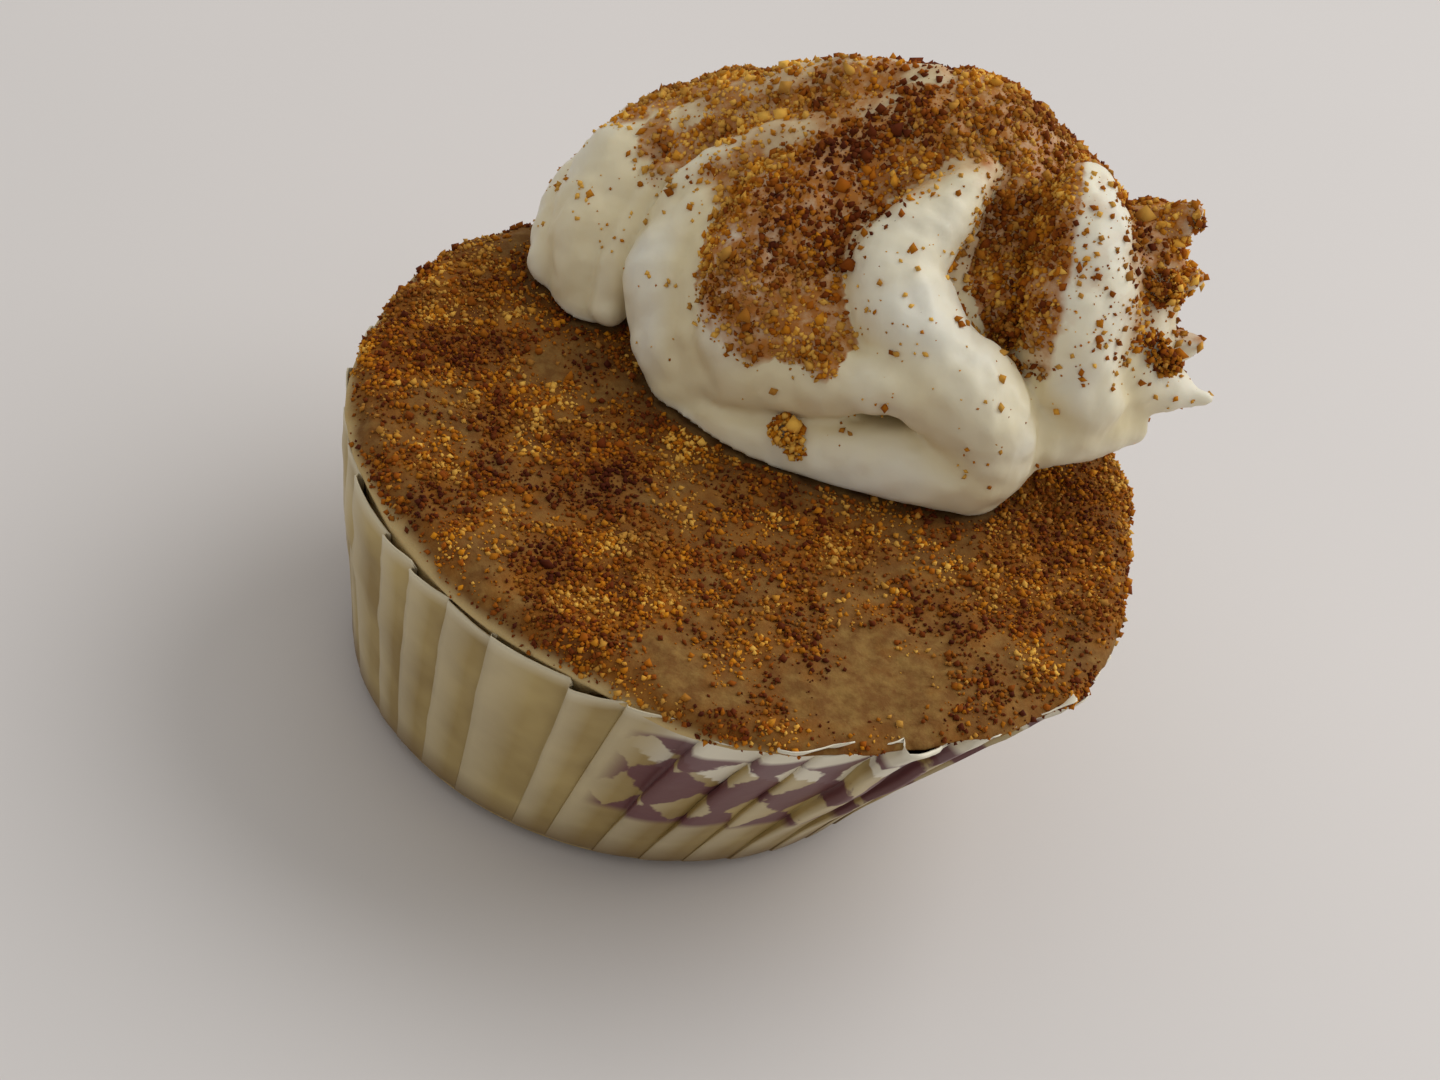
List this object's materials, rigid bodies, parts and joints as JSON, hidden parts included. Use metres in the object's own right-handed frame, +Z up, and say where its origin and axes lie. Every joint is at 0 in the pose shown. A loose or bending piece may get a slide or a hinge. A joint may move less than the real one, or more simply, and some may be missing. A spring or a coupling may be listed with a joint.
{
  "type": "cupcake",
  "caption": "Cupcake in a pleated paper baking case, with a crumbed cake top and a swirl of piped whipped cream.",
  "frame": {"origin": "centre of the paper case's flat base, on the table", "axes": "+Z up, from the base to the cream; the front, with the bare part of the cake's top, faces -Y; the case leans a little to +X"},
  "size_m": [0.0725, 0.0727, 0.0602],
  "materials": {
    "greaseproof_paper": "thin, a little waxy, greasy where it meets the cake",
    "baked_cake": "crumbed, matt",
    "whipped_cream": "smooth, soft gloss"
  },
  "bodies": {
    "root": {"paper_case": "greaseproof_paper", "cake": "baked_cake", "cream": "whipped_cream"}
  },
  "joints": []
}
